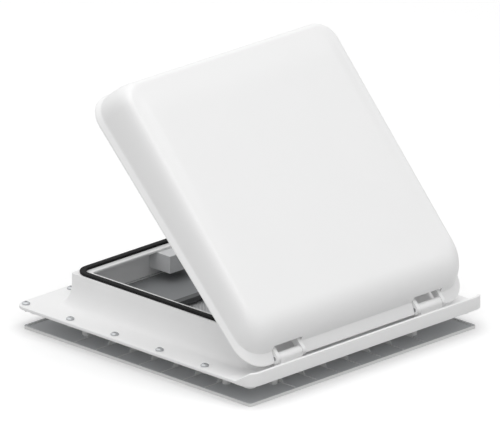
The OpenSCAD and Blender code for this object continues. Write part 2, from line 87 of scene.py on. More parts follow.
# Forms of the mouldings without a unit
DOME_RINGS = 25  # rings of the dome's curve
FLARE_POINTS = 14  # points down the upstand's flare
FLANGE_RINGS = 7  # rings across the flange's flat
BULB_POINTS = 25  # points round the seal's bulb
HINGE_POINTS = 24  # points round a hinge block's top
DOME_LEAN = 0.4  # how steep the dome's curve starts: the less, the steeper
FLARE_SHARE = 0.7  # of the upstand's height that its flare takes up
SEAL_POWER = 0.3  # of the bulb's squared ellipse: the less, the squarer
STRAND_WAVE = 0.25  # rise of a net strand at a crossing, in strand widths
STRAND_FLAT = 0.5  # thickness of a net strand, in strand widths
SHARP = 40.0  # degrees above which an edge is drawn sharp

# How the moulded finishes vary
GRAIN_STRENGTH = 0.35  # of the grain's bump
POLISH_MM = 60.0  # patches of more and less polish
ROUGH_SWING = 0.05  # by which the polish moves the roughness up and down
DRIFT_MM = 90.0  # patches of the colour's drift
COAT_ROUGH = 0.2  # roughness of a glossy skin
PAINTED_SHADE_FROM, PAINTED_SHADE_FULL = 0.2, 0.7  # upward part of the normal where the painted shade starts and is full

# Sockets of a colour mix node
MIX_FACTOR, MIX_A, MIX_B, MIX_RESULT = 0, 6, 7, 2

# The stage
FLOOR_HALF = 9.0  # half the floor's side, in metres
FLOOR_DULL = 0.55  # the floor's grey where it only sends light to the object
PAPER_GAIN = 1.12  # of the floor's colour where it is looked at
WORLD_STRENGTH = 0.345  # of the world's light on the object
LAMP_TARGET = (0.0, 0.0, 0.1)  # point at which every lamp is aimed

# Lamps: name, place in metres, power in watts, side in metres
LAMPS = (
    ("overhead", (0.0, 0.0, 8.0), 268.0, 8.0),
    ("front", (0.0, -2.4, 3.2), 47.0, 5.0),
    ("near", (-2.6, -2.6, 2.4), 14.0, 4.0),
    ("left", (-3.2, 0.0, 2.4), 22.0, 4.0),
    ("back", (0.0, 3.0, 2.6), 20.0, 4.0),
)

# Finishes made so far, by name
FINISH = {}


def length(name, description, default_mm):
    """A length property in metres with its default given in millimetres."""
    return FloatProperty(name=name, description=description, default=default_mm * MM,
                         subtype="DISTANCE", unit="LENGTH")


def linear(code):
    """Hex sRGB colour as linear red, green, blue and alpha, by the curve of the sRGB standard."""
    parts = np.array([int(code[i:i + 2], 16) for i in (1, 3, 5)]) / 255.0
    low, high = parts / 12.92, ((parts + 0.055) / 1.055) ** 2.4
    return (*np.where(parts <= 0.04045, low, high).tolist(), 1.0)


def colour(name, description, code):
    """A colour property with its default given as a hex sRGB value."""
    return FloatVectorProperty(name=name, description=description, default=linear(code),
                               size=4, subtype="COLOR", min=0.0, max=1.0)


class VentSizes(bpy.types.PropertyGroup):
    """Sizes of the dressed pieces, in the frame's metres."""

    lid_w: length("Lid width", "Width of the lid along the hinge", 452)
    lid_d: length("Lid depth", "Depth of the lid from the hinge edge", 460)
    lid_r: length("Lid corner", "Corner radius of the lid's rim", 42)
    top_r: length("Top corner", "Corner radius of the dome's flat top", 28)
    lid_h: length("Lid height", "Height of the flat top's middle over the rim's lower edge", 56)
    top_rise: length("Top rise", "Rise of the flat top over the lid's depth", 20)
    lid_wall: length("Lid wall", "Wall of the lid's shell", 3)
    rim_h: length("Rim height", "Height of the lid's sloping rim", 9)
    rim_ledge: length("Rim lean", "Lean of the rim at the sides and the far end", 4.5)
    near_ledge: length("Near lean", "Lean of the rim at the hinge end", 16)
    rim_drop: length("Rim drop", "Rim's lower edge below the hinge axis", 4)
    side_inset: length("Side inset", "Inset of the flat top from the sides", 23)
    far_inset: length("Far inset", "Inset of the flat top from the far edge", 23)
    near_inset: length("Near inset", "Inset of the flat top from the hinge edge", 62)
    ridge_h: length("Ridge height", "Height of the ridge over the flat top", 3)
    ridge_in: length("Ridge inset", "Distance of the ridge from the flat top's far end", 41)
    notch_h: length("Notch height", "Height of a hinge notch in the lid's rim", 18)
    notch_back: length("Notch depth", "Depth of a hinge notch from the lid's edge", 23)
    duct_w: length("Duct width", "Side of the square duct inside the upstand", 352)
    duct_r: length("Duct corner", "Corner radius inside the duct", 22)
    wall: length("Upstand wall", "Wall of the upstand", 6)
    upstand_r: length("Upstand corner", "Corner radius of the upstand's outer edge", 6)
    flare: length("Flare", "Reach of the upstand's flared foot", 20)
    lip_w: length("Lip width", "Width of the lip that turns in at the top", 16)
    lip_t: length("Lip thickness", "Thickness of the turned-in lip", 3)
    flange_r: length("Flange corner", "Corner radius of the flange", 20)
    flange_t: length("Flange thickness", "Thickness of the flange", 5)
    spigot_h: length("Spigot", "Length of the duct below the flange", 8)
    bar_h: length("Weather bar height", "Height of the front bar from the flange's underside", 20)
    bar_t: length("Weather bar thickness", "Thickness of the front bar", 5)
    bar_ramp: length("Weather bar ramp", "Length of the front bar's ramps along the sides", 30)
    seal_w: length("Seal width", "Width of the rubber seal", 9.5)
    lid_edge: length("Lid edge", "Lid's near edge beyond the hinge axis", 5)
    notch_gap: length("Notch gap", "Room at each end of a hinge in its notch", 0.8)
    pad_h: length("Pad height", "Height of a corner pad under the flange", 8)
    pad_r: length("Pad foot", "Radius of a corner pad's foot", 9)
    pad_top_r: length("Pad top", "Radius of a corner pad at the flange", 17)
    boss_r: length("Boss radius", "Radius of a clamp screw's boss", 6)
    boss_off: length("Boss place", "Distance of a boss from the middle of its side", 142)
    net_pitch: length("Net pitch", "Spacing of the net's strands, drawn coarse enough to show", 3.4)
    net_strand: length("Strand", "Width of a strand of the net", 1.3)


class VentColours(bpy.types.PropertyGroup):
    """Colours of the vent's finishes."""

    white: colour("White ABS", "Lid and roof frame", "#F7F7F7")
    trim: colour("Pale ABS", "Ceiling frame's face and edge", "#F2F2F1")
    # painted shade: the darker pale that the ceiling frame's upward faces take, for the shade under the flange
    trim_painted_shade: colour("Pale ABS, roof side", "Ceiling frame's dull side that faces the roof", "#BFC1C3")
    grey: colour("Grey ABS", "Screen frame, blind rails and latch housing", "#DEDFE0")
    shade: colour("Shade plastic", "Blind pocket and shade", "#8E9092")
    bar: colour("Bar plastic", "The shade's pull bar", "#4A4C4D")
    rubber: colour("Seal rubber", "Seal on the upstand", "#19191A")
    zinc: colour("Zinc plate", "Screws, pins and stays", "#B6B8BA")
    nylon: colour("Black nylon", "Knobs and catches", "#2B2B2C")
    net: colour("Net coating", "Insect net", "#E9EAEB")
    floor: colour("Floor", "Floor under the vent", "#FFFFFF")


def add(tree, kind, values=None, links=None, **settings):
    """Adds a node, sets its attributes and socket values, and links sources to its sockets."""
    node = tree.nodes.new(kind)
    for key, value in settings.items():
        setattr(node, key, value)
    for socket, value in (values or {}).items():
        node.inputs[socket].default_value = value
    for socket, source in (links or {}).items():
        tree.links.new(source, node.inputs[socket])
    return node


def new_material(name):
    """Empty node material, its tree and its output node."""
    material = bpy.data.materials.new(name)
    material.use_nodes = True
    material.node_tree.nodes.clear()
    output = add(material.node_tree, "ShaderNodeOutputMaterial")
    return material, material.node_tree, output


def per_metre(size_mm):
    """Scale of a texture whose pattern has the given size in millimetres."""
    return 1000.0 / size_mm


def mottled(tree, coords, tint, share, size_mm):
    """Base colour that drifts by a small share of itself over patches of the given size."""
    noise = add(tree, "ShaderNodeTexNoise", {"Scale": per_metre(size_mm), "Detail": 3.0},
                {"Vector": coords})
    dark = tuple(c * (1.0 - share) for c in tint[:3]) + (1.0,)
    mix = add(tree, "ShaderNodeMix", {MIX_A: tint, MIX_B: dark}, {MIX_FACTOR: noise.outputs["Fac"]},
              data_type="RGBA")
    return mix.outputs[MIX_RESULT]


def plastic(name, tint, rough, grain_mm, grain_depth_mm, coat=0.0, drift=0.03, ior=1.53, back=None):
    """Moulded plastic: a base colour that drifts a little, a fine moulded grain as bump,
    and a roughness that varies slightly where the tool was polished less. With a back colour,
    faces that look up take it: painted shade, which darkens the ceiling frame's upward faces
    where they lie in shade under the flange."""
    material, tree, output = new_material(name)
    coords = add(tree, "ShaderNodeTexCoord").outputs["Object"]
    grain = add(tree, "ShaderNodeTexNoise", {"Scale": per_metre(grain_mm), "Detail": 2.0},
                {"Vector": coords})
    bump = add(tree, "ShaderNodeBump", {"Strength": GRAIN_STRENGTH, "Distance": grain_depth_mm * MM},
               {"Height": grain.outputs["Fac"]})
    polish = add(tree, "ShaderNodeTexNoise", {"Scale": per_metre(POLISH_MM), "Detail": 2.0},
                 {"Vector": coords})
    rough_map = add(tree, "ShaderNodeMapRange",
                    {"To Min": rough - ROUGH_SWING, "To Max": rough + ROUGH_SWING},
                    {"Value": polish.outputs["Fac"]})
    body = mottled(tree, coords, tuple(tint), drift, DRIFT_MM)
    # painted shade: faces whose normal points up take the darker back colour, standing in for the shade they lie
    # in
    if back is not None:
        normal = add(tree, "ShaderNodeNewGeometry").outputs["Normal"]
        upward = add(tree, "ShaderNodeSeparateXYZ", None, {"Vector": normal}).outputs["Z"]
        share = add(tree, "ShaderNodeMapRange", {"From Min": PAINTED_SHADE_FROM, "From Max": PAINTED_SHADE_FULL},
                    {"Value": upward})
        mix = add(tree, "ShaderNodeMix", {MIX_B: tuple(back)},
                  {MIX_FACTOR: share.outputs["Result"], MIX_A: body}, data_type="RGBA")
        body = mix.outputs[MIX_RESULT]
    shader = add(tree, "ShaderNodeBsdfPrincipled",
                 {"IOR": ior, "Coat Weight": coat, "Coat Roughness": COAT_ROUGH},
                 {"Base Color": body, "Roughness": rough_map.outputs["Result"],
                  "Normal": bump.outputs["Normal"]})
    tree.links.new(shader.outputs["BSDF"], output.inputs["Surface"])
    return material


def plated(name, tint, rough, grain_mm):
    """Zinc-plated steel: metallic, with a fine spangle in its roughness and faint bump."""
    shinier, duller = 0.08, 0.1
    strength, depth_mm = 0.1, 0.03
    drift, drift_mm = 0.12, 12.0
    material, tree, output = new_material(name)
    coords = add(tree, "ShaderNodeTexCoord").outputs["Object"]
    spangle = add(tree, "ShaderNodeTexVoronoi", {"Scale": per_metre(grain_mm)}, {"Vector": coords})
    rough_map = add(tree, "ShaderNodeMapRange", {"To Min": rough - shinier, "To Max": rough + duller},
                    {"Value": spangle.outputs["Distance"]})
    bump = add(tree, "ShaderNodeBump", {"Strength": strength, "Distance": depth_mm * MM},
               {"Height": spangle.outputs["Distance"]})
    shader = add(tree, "ShaderNodeBsdfPrincipled", {"Metallic": 1.0},
                 {"Base Color": mottled(tree, coords, tuple(tint), drift, drift_mm),
                  "Roughness": rough_map.outputs["Result"], "Normal": bump.outputs["Normal"]})
    tree.links.new(shader.outputs["BSDF"], output.inputs["Surface"])
    return material


def finishes(tints):
    """Every finish of the vent, by its slot's name or by a name of its own."""
    return {
        # Injection-moulded ABS, satin: a soft broad highlight and a faint orange peel
        "white_plastic": plastic("moulded_white_abs", tints.white, rough=0.42, grain_mm=1.6,
                                 grain_depth_mm=0.02, coat=0.15, drift=0.02),
        # Injection-moulded ABS with a spark-eroded texture: no clear highlight
        "grey_plastic": plastic("textured_grey_abs", tints.grey, rough=0.6, grain_mm=0.8,
                                grain_depth_mm=0.05),
        # The same texture in a paler moulding, with painted shade darkening its upward faces
        "trim_plastic": plastic("textured_pale_abs", tints.trim, rough=0.6, grain_mm=0.8,
                                grain_depth_mm=0.05, back=tints.trim_painted_shade),
        # Extruded PVC, satin: a broad weak highlight, in two greys
        "shade_plastic": plastic("extruded_grey_pvc", tints.shade, rough=0.5, grain_mm=1.2,
                                 grain_depth_mm=0.03),
        "bar_plastic": plastic("dark_grey_pvc", tints.bar, rough=0.5, grain_mm=1.2,
                               grain_depth_mm=0.03),
        # Extruded EPDM rubber: matt, with a dusty bloom in patches. Its IOR is set low, because the
        # bloom keeps it from mirroring the white room
        "seal_rubber": plastic("epdm_rubber", tints.rubber, rough=0.75, grain_mm=0.6,
                               grain_depth_mm=0.06, drift=0.25, ior=1.25),
        # Zinc-plated mild steel: cool grey metal with a fine spangle
        "steel": plated("zinc_plated_steel", tints.zinc, rough=0.5, grain_mm=1.2),
        # Moulded nylon: nearly black, half matt
        "black_plastic": plastic("moulded_black_nylon", tints.nylon, rough=0.5, grain_mm=0.9,
                                 grain_depth_mm=0.04, drift=0.1),
        # Coated glass-fibre yarn: pale, half matt
        "net": plastic("coated_glass_yarn", tints.net, rough=0.55, grain_mm=0.7, grain_depth_mm=0.04),
    }


def outline(half_x, half_y, radius, corner=14, side=26):
    """Closed outline of a rectangle with round corners: quarter circles about the four corner
    centres joined by straight runs, as many points for any size, counter-clockwise from +X."""
    turn = np.linspace(0.0, np.pi / 2, corner)
    run = np.linspace(0.0, 1.0, side + 2)[1:-1, None]
    parts = []
    signs = np.array([[1, 1], [-1, 1], [-1, -1], [1, -1]], float)
    centres = signs * [half_x - radius, half_y - radius]
    for k in range(4):
        angle = turn + k * np.pi / 2
        bend = centres[k] + radius * np.stack([np.cos(angle), np.sin(angle)], 1)
        after = centres[(k + 1) % 4] + radius * np.array([np.cos(angle[-1]), np.sin(angle[-1])])
        parts += [bend, bend[-1] + run * (after - bend[-1])]
    return np.concatenate(parts)


def grid_faces(rings, count, close_rings=False):
    """Quads between neighbouring rings of equal count, each ring closed on itself, and on request
    between the last ring and the first."""
    a = np.arange(rings if close_rings else rings - 1)[:, None] * count
    b = (a + count) % (rings * count)
    i = np.arange(count)[None, :]
    j = (i + 1) % count
    return np.stack([a + i, a + j, b + j, b + i], -1).reshape(-1, 4)


def tube_faces(rings, count):
    """Quads between neighbouring rings, and one face across each end."""
    sides = [tuple(face) for face in grid_faces(rings, count).tolist()]
    total = rings * count
    return sides + [tuple(range(count - 1, -1, -1)), tuple(range(total - count, total))]


def make_piece(name, verts, faces, body, material, replaces=(), sharp=SHARP):
    """Mesh object of the given points and faces, smooth but for edges sharper than an angle,
    carried by a body of the frame."""
    mesh = bpy.data.meshes.new(name)
    mesh.from_pydata(np.asarray(verts, float).tolist(), [], [list(map(int, f)) for f in faces])
    mesh.update()
    mesh.shade_smooth()
    mesh.set_sharp_from_angle(angle=math.radians(sharp))
    mesh.materials.append(material)
    piece = bpy.data.objects.new(name, mesh)
    bpy.context.scene.collection.objects.link(piece)
    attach(piece, body)
    if replaces:
        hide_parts(*replaces)
    return piece


def opened(points):
    """Points drawn on the closed lid, turned about the hinge axis to where the lid stands."""
    turn = np.array(Matrix.Rotation(LID_OPEN, 3, "X"))
    return (np.asarray(points, float) - HINGE) @ turn.T + HINGE


def lid_rings(size, inset, drop):
    """Rings of the lid's skin from the rim's lower edge to near the middle of the top.

    The rim has a short upright edge and then leans in on a straight slope up to a crease. From there
    the skin follows a quadratic curve that starts steep and ends level: drawn-in share
    lean t (1 - t) + t^2 over height share 1 - (1 - t)^2. Each side has its own lean and inset, so the
    dome is steep at the sides and long at the hinge end. In step with its height share the skin also
    rises with the distance from the hinge edge, so the top leans up to the far end, where a ridge
    crosses it. inset and drop give the inner skin of a shell."""
    # Shares of the rim's slope, close together at both ends to keep its creases crisp
    slope = np.array([0.0, 0.06, 0.35, 0.65, 0.94, 1.0])
    t = np.linspace(0.0, 1.0, DOME_RINGS + 1)[1:]
    curve_in = DOME_LEAN * t * (1.0 - t) + t * t
    curve_up = 1.0 - (1.0 - t) ** 2
    # Shares by which the flat top's rings draw in to its middle, close together near its border
    shrink = np.concatenate([np.linspace(0.0, 0.25, 16)[1:], np.linspace(0.25, 0.97, 14)[1:]])
    top = size.lid_h - drop
    half_x, half_y = size.lid_w / 2 - inset, size.lid_d / 2 - inset
    middle = HINGE[1] - size.lid_edge + size.lid_d / 2
    floor_z = HINGE[2] - size.rim_drop
    corner = size.lid_r - inset
    rings = []

    def add_ring(side, near, far, radius, height, share=0.0):
        flat = outline(half_x - side, half_y - (near + far) / 2, radius)
        y = flat[:, 1] + (near - far) / 2
        z = floor_z + height + share * size.top_rise * y / size.lid_d
        rings.append(np.stack([flat[:, 0], middle + y, z], 1))

    add_ring(0.0, 0.0, 0.0, corner, 0.0)
    for k in slope:
        add_ring(k * size.rim_ledge, k * size.near_ledge, k * size.rim_ledge, corner - k * RIM_TIGHTER,
                 RIM_EDGE + k * (size.rim_h - RIM_EDGE))
    for k, gone, share in zip(t, curve_in, curve_up):
        side = size.rim_ledge + gone * (size.side_inset - size.rim_ledge)
        near = size.near_ledge + gone * (size.near_inset - size.near_ledge)
        far = size.rim_ledge + gone * (size.far_inset - size.rim_ledge)
        radius = size.lid_r - RIM_TIGHTER + k * (size.top_r - size.lid_r + RIM_TIGHTER) - inset
        add_ring(side, near, far, radius, size.rim_h + share * (top - size.rim_h), share)
    last = rings[-1]
    centre = np.array([0.0, middle + (size.near_inset - size.far_inset) / 2])
    for part in shrink:
        inner = last.copy()
        inner[:, :2] = centre + (last[:, :2] - centre) * (1.0 - part)
        inner[:, 2] += size.top_rise * (inner[:, 1] - last[:, 1]) / size.lid_d + ridge(size, inner, last)
        rings.append(inner)
    return np.array(rings)


def ridge(size, points, border):
    """Height that the flat top gains: a soft-edged roof line that climbs from both ends of the flat
    top to the ridge, and fades out over a narrow band at the sides."""
    low, high = border[:, 1].min(), border[:, 1].max()
    crest = high - size.ridge_in
    reach = border[:, 0].max()
    up_near = (points[:, 1] - low) / (crest - low)
    up_far = (high - points[:, 1]) / (high - crest)
    rounding = RIDGE_SOFT * np.exp(-((points[:, 1] - crest) / RIDGE_SOFT) ** 2) / size.ridge_in
    tilt = np.minimum(up_near, up_far) - rounding
    fade = np.clip((reach - np.abs(points[:, 0])) / RIDGE_FADE, 0.0, 1.0)
    return size.ridge_h * np.clip(tilt, 0.0, 1.0) * fade * fade * (3 - 2 * fade)


def lid_mesh(size):
    """Closed shell of the lid: the outer skin from the middle of the top down to the rim, then the
    inner skin back up, each ended by a fan to a middle point."""
    outer = lid_rings(size, 0.0, 0.0)[::-1]
    inner = lid_rings(size, size.lid_wall, size.lid_wall)
    inner[0, :, 2] = outer[-1, :, 2]
    rings = np.concatenate([outer, inner])
    count = rings.shape[1]
    points = rings.reshape(-1, 3)
    faces = [tuple(f) for f in grid_faces(len(rings), count)[:, ::-1].tolist()]
    first, final = len(points), len(points) + 1
    points = np.concatenate([points, [rings[0].mean(0)], [rings[-1].mean(0)]])
    i = np.arange(count)
    j = (i + 1) % count
    base = (len(rings) - 1) * count
    faces += list(zip(i.tolist(), j.tolist(), [first] * count))
    faces += list(zip((base + j).tolist(), (base + i).tolist(), [final] * count))
    return points, faces


def box_mesh(low, high):
    """Eight corners and six outward faces of a box."""
    corners = np.array([[x, y, z] for x in (0, 1) for y in (0, 1) for z in (0, 1)], float)
    points = np.asarray(low) + corners * (np.asarray(high) - np.asarray(low))
    faces = [(0, 1, 3, 2), (4, 6, 7, 5), (0, 4, 5, 1), (2, 3, 7, 6), (0, 2, 6, 4), (1, 5, 7, 3)]
    return points, faces


def cut_away(piece, cutters):
    """Cuts closed cutter meshes out of a piece for good."""
    for points, faces in cutters:
        mesh = bpy.data.meshes.new("cutter")
        mesh.from_pydata(np.asarray(points).tolist(), [], faces)
        cutter = bpy.data.objects.new("cutter", mesh)
        bpy.context.scene.collection.objects.link(cutter)
        cut = piece.modifiers.new("cut", "BOOLEAN")
        cut.operation = "DIFFERENCE"
        cut.solver = "EXACT"
        cut.object = cutter
        view = bpy.context.evaluated_depsgraph_get()
        done = bpy.data.meshes.new_from_object(piece.evaluated_get(view))
        piece.modifiers.clear()
        old = piece.data
        piece.data = done
        bpy.data.meshes.remove(old)
        bpy.data.objects.remove(cutter)
    piece.data.set_sharp_from_angle(angle=math.radians(SHARP))


def section_sweep(section, half):
    """Closed section carried round the square duct: each section point (reach outward, height,
    corner radius) becomes a ring whose half size grows by the reach."""
    rings = []
    for reach, height, radius in section:
        flat = outline(half + reach, half + reach, radius)
        rings.append(np.concatenate([flat, np.full((len(flat), 1), height)], 1))
    rings = np.array(rings)
    faces = grid_faces(len(rings), rings.shape[1], close_rings=True)[:, ::-1]
    return rings.reshape(-1, 3), faces


def arc(centre, radius, start, end, count=6):
    """Points of a circular arc between two angles in degrees."""
    angle = np.radians(np.linspace(start, end, count))
    return np.stack([centre[0] + radius * np.cos(angle), centre[1] + radius * np.sin(angle)], 1)


def frame_section(size):
    """Section of the roof frame: up the duct's inner wall, round the turned-in lip, down the upstand
    and its concave quarter-ellipse flare, over the flange's round edge, and back under it to the spigot.
    The upstand's outside has a tighter corner than its inside."""
    low, top = FLANGE_LOW.z, SEAL_LOW.z
    under = low + size.spigot_h
    deck = under + size.flange_t
    reach = FLANGE_HIGH.x - size.duct_w / 2 - FLANGE_INSET
    r = FRAME_ROUND
    foot = size.wall + size.flare
    lip = top - size.lip_t
    turn = np.radians(np.linspace(90.0, 0.0, FLARE_POINTS))
    flare = np.stack([size.wall + size.flare * (1 - np.sin(turn)),
                      deck + (top - deck) * FLARE_SHARE * (1 - np.cos(turn))], 1)
    inside = [(0.0, low), (0.0, lip - LIP_HOLD), (0.0, lip), (-size.lip_w, lip)]
    inside += arc((-size.lip_w + r, top - r), r, 180, 90).tolist()
    outside = arc((size.wall - r, top - r), r, 90, 0).tolist() + flare.tolist()
    section = [(a, b, size.duct_r + a) for a, b in inside]
    section += [(a, b, size.upstand_r + a - size.wall) for a, b in outside]
    blend = np.linspace(0.0, 1.0, FLANGE_RINGS + 1)[1:]
    foot_r = size.upstand_r + size.flare
    flat_r = size.flange_r - r
    section += [(foot + k * (reach - r - foot), deck, foot_r + k * (flat_r - foot_r)) for k in blend]
    edge = arc((reach - r, deck - r), r, 90, 0)[1:].tolist()
    edge += arc((reach - r, under + r), r, 0, -90).tolist()
    section += [(a, b, size.flange_r - (reach - a)) for a, b in edge]
    spigot_r = size.duct_r + size.wall
    section += [(size.wall + k * (reach - r - size.wall), under, spigot_r + k * (flat_r - spigot_r))
                for k in blend[-2::-1]]
    section += [(size.wall, under, spigot_r), (size.wall, low, spigot_r)]
    return section


def seal_section(size):
    """Section of the rubber seal: a foot on the lip and a bulb whose top is a squared ellipse."""
    low, high = SEAL_LOW.z, SEAL_HIGH.z
    outer = SEAL_HIGH.x - size.duct_w / 2
    middle, half = outer - size.seal_w / 2, size.seal_w / 2
    angle = np.linspace(np.pi, 0.0, BULB_POINTS)
    x = middle + half * np.sign(np.cos(angle)) * np.abs(np.cos(angle)) ** SEAL_POWER
    z = low + SEAL_FOOT + (high - low - SEAL_FOOT) * np.abs(np.sin(angle)) ** SEAL_POWER
    path = [(middle - half + SEAL_TUCK, low), *zip(x, z), (outer - SEAL_TUCK, low)]
    return [(a, b, size.duct_r + a) for a, b in path]


def weather_bar_mesh(size):
    """Front bar: an upright section with round edges carried along the flange's front edge, round its
    two front corners and a little way along the sides, where its height falls to the flange on a
    straight ramp."""
    half = FLANGE_HIGH.x
    r = size.flange_r
    under = FLANGE_LOW.z + size.spigot_h
    ramp_points, turn_points, run_points = 8, 18, 40
    side = np.linspace(-half + size.bar_ramp, -half + r, ramp_points + 1)[:-1]
    turn = np.linspace(0.0, np.pi / 2, turn_points)
    left = np.concatenate([np.stack([np.full(ramp_points, -half), side], 1),
                           np.stack([-half + r - r * np.cos(turn), -half + r - r * np.sin(turn)], 1)])
    left_out = np.concatenate([np.tile([-1.0, 0.0], (ramp_points, 1)),
                               np.stack([-np.cos(turn), -np.sin(turn)], 1)])
    run = np.linspace(0.0, 1.0, run_points)[1:-1, None]
    straight = left[-1] + run * np.array([2 * (half - r), 0.0])
    line = np.concatenate([left, straight, left[::-1] * [-1, 1]])
    out = np.concatenate([left_out, np.tile([0.0, -1.0], (len(straight), 1)), left_out[::-1] * [-1, 1]])
    climb = np.clip((-half + size.bar_ramp - line[:, 1]) / (size.bar_ramp - size.bar_t), 0.0, 1.0)
    height = size.flange_t + (size.bar_h - size.flange_t) * climb
    k = BAR_ROUND
    crown = np.concatenate([arc((-k, -k), k, 0, 90), arc((-size.bar_t + k, -k), k, 90, 180)])
    foot = np.concatenate([[[-size.bar_t, k]], arc((-k, k), k, -90, 0)])
    reach = np.concatenate([crown[:, 0], foot[:, 0]])
    lift = np.concatenate([np.ones(len(crown)), np.zeros(len(foot))])
    sink = np.concatenate([crown[:, 1], foot[:, 1]])
    rows = line[:, None, :] + out[:, None, :] * reach[None, :, None]
    z = under + lift[None, :] * height[:, None] + sink[None, :]
    points = np.concatenate([rows, z[..., None]], -1)
    faces = [face[::-1] for face in tube_faces(*points.shape[:2])]
    return points.reshape(-1, 3), faces


def lathe(profile, place, count=28):
    """Profile of (radius, height) pairs turned about an upright line at a place, closed at both ends."""
    angle = np.linspace(0.0, 2 * np.pi, count, endpoint=False)
    p = np.asarray(profile, float)
    ring = np.stack([np.cos(angle), np.sin(angle)], 1)
    points = np.concatenate([p[:, None, :1] * ring[None], np.repeat(p[:, None, 1:], count, 1)], -1)
    return points.reshape(-1, 3) + np.asarray(place), tube_faces(len(p), count)


def joined(meshes):
    """Several meshes as one."""
    points, faces, start = [], [], 0
    for p, f in meshes:
        points.append(np.asarray(p))
        faces += [tuple(int(i) + start for i in face) for face in f]
        start += len(p)
    return np.concatenate(points), faces


def prism(section, x0, x1, bevel=0.0):
    """Section in Y and Z carried along X between two places, with ends drawn in by a small round."""
    section = np.asarray(section, float)
    middle = section.mean(0)
    half = np.ptp(section, 0).min() / 2
    step = bevel * 0.3  # about halfway round the bevel
    rows = []
    for x, gone in ((x0, bevel), (x0 + step, step), (x0 + bevel, 0.0),
                    (x1 - bevel, 0.0), (x1 - step, step), (x1, bevel)):
        flat = middle + (section - middle) * (1.0 - gone / half)
        rows.append(np.concatenate([np.full((len(flat), 1), x), flat], 1))
    rows = np.array(rows)
    return rows.reshape(-1, 3), tube_faces(*rows.shape[:2])


def strands(size):
    """Woven net: flat strands along X and Y at one pitch, closed at both ends, each rising and falling
    in turn from crossing to crossing so that it passes over and under those it meets."""
    half = (NET_HIGH.x - NET_LOW.x) / 2
    level = (NET_LOW.z + NET_HIGH.z) / 2
    count = int(2 * half / size.net_pitch)
    at = (np.arange(count) - (count - 1) / 2) * size.net_pitch
    along = np.concatenate([[-half], at, [half]])
    wave = STRAND_WAVE * size.net_strand
    corner = size.net_strand / 2 * np.array([[1, 1], [-1, 1], [-1, -1], [1, -1]])
    parity = np.where(np.arange(count) % 2 == 0, 1.0, -1.0)[:, None]
    swing = np.where(np.arange(len(along)) % 2 == 0, 1.0, -1.0)[None, :]
    lift = wave * parity * swing
    a = np.empty((count, len(along), 4, 3))
    a[..., 0] = along[None, :, None]
    a[..., 1] = at[:, None, None] + corner[None, None, :, 0]
    a[..., 2] = level + lift[..., None] + corner[None, None, :, 1] * STRAND_FLAT
    b = a[..., [1, 0, 2]].copy()
    b[..., 2] = level - lift[..., None] + corner[None, None, :, 1] * STRAND_FLAT
    step = len(along) * 4
    ends = np.array([[3, 2, 1, 0], [step - 4, step - 3, step - 2, step - 1]])
    faces = np.concatenate([grid_faces(len(along), 4), ends])
    one = (faces[None] + (np.arange(count) * step)[:, None, None]).reshape(-1, 4)
    total = count * step
    points = np.concatenate([a.reshape(-1, 3), b.reshape(-1, 3)])
    return points, np.concatenate([one, one[:, ::-1] + total])


def boss_places(size):
    """Places of the eight clamp screw bosses, two on each side of the duct."""
    across = size.duct_w / 2 + size.wall + size.boss_r + BOSS_GAP
    return [(x, y) for k in (-1, 1) for m in (-1, 1)
            for x, y in ((k * across, m * size.boss_off), (m * size.boss_off, k * across))]


def looked_at(tree):
    """One where a surface is seen by the camera, straight or in a reflection, and zero where it only
    sends light to the object."""
    path = add(tree, "ShaderNodeLightPath").outputs
    seen = path["Is Camera Ray"]
    for kind in ("Is Glossy Ray", "Is Transmission Ray"):
        seen = add(tree, "ShaderNodeMath", None, {0: seen, 1: path[kind]}, operation="MAXIMUM").outputs[0]
    return seen


def lay_floor(tint):
    """Matt floor at the object's foot: paper white where it is looked at, apart from the object's
    shadow, and a duller grey where it only sends light to the object."""
    fibre_mm = 3.0
    strength, depth_mm = 0.05, 0.05
    corners = ((-1, -1), (1, -1), (1, 1), (-1, 1))
    mesh = bpy.data.meshes.new("floor")
    mesh.from_pydata([(x * FLOOR_HALF, y * FLOOR_HALF, 0.0) for x, y in corners], [], [(0, 1, 2, 3)])
    material, tree, output = new_material("floor_paper")
    coords = add(tree, "ShaderNodeTexCoord").outputs["Object"]
    fibre = add(tree, "ShaderNodeTexNoise", {"Scale": per_metre(fibre_mm), "Detail": 3.0},
                {"Vector": coords})
    bump = add(tree, "ShaderNodeBump", {"Strength": strength, "Distance": depth_mm * MM},
               {"Height": fibre.outputs["Fac"]})
    paper = tuple(PAPER_GAIN * c for c in tint[:3]) + (1.0,)
    dull = (FLOOR_DULL, FLOOR_DULL, FLOOR_DULL, 1.0)
    tone = add(tree, "ShaderNodeMix", {MIX_A: dull, MIX_B: paper}, {MIX_FACTOR: looked_at(tree)},
               data_type="RGBA")
    shader = add(tree, "ShaderNodeBsdfDiffuse", None,
                 {"Color": tone.outputs[MIX_RESULT], "Normal": bump.outputs["Normal"]})
    tree.links.new(shader.outputs["BSDF"], output.inputs["Surface"])
    mesh.materials.append(material)
    floor = bpy.data.objects.new("floor", mesh)
    bpy.context.scene.collection.objects.link(floor)


def light_world(scene):
    """World that is white where it is looked at, straight or in a reflection, and weaker as a light."""
    white = (1.0, 1.0, 1.0, 1.0)
    scene.world = bpy.data.worlds.new("studio")
    scene.world.use_nodes = True
    tree = scene.world.node_tree
    tree.nodes.clear()
    soft = add(tree, "ShaderNodeBackground", {"Color": white, "Strength": WORLD_STRENGTH})
    full = add(tree, "ShaderNodeBackground", {"Color": white, "Strength": 1.0})
    mix = add(tree, "ShaderNodeMixShader", None,
              {0: looked_at(tree), 1: soft.outputs[0], 2: full.outputs[0]})
    add(tree, "ShaderNodeOutputWorld", None, {"Surface": mix.outputs[0]})


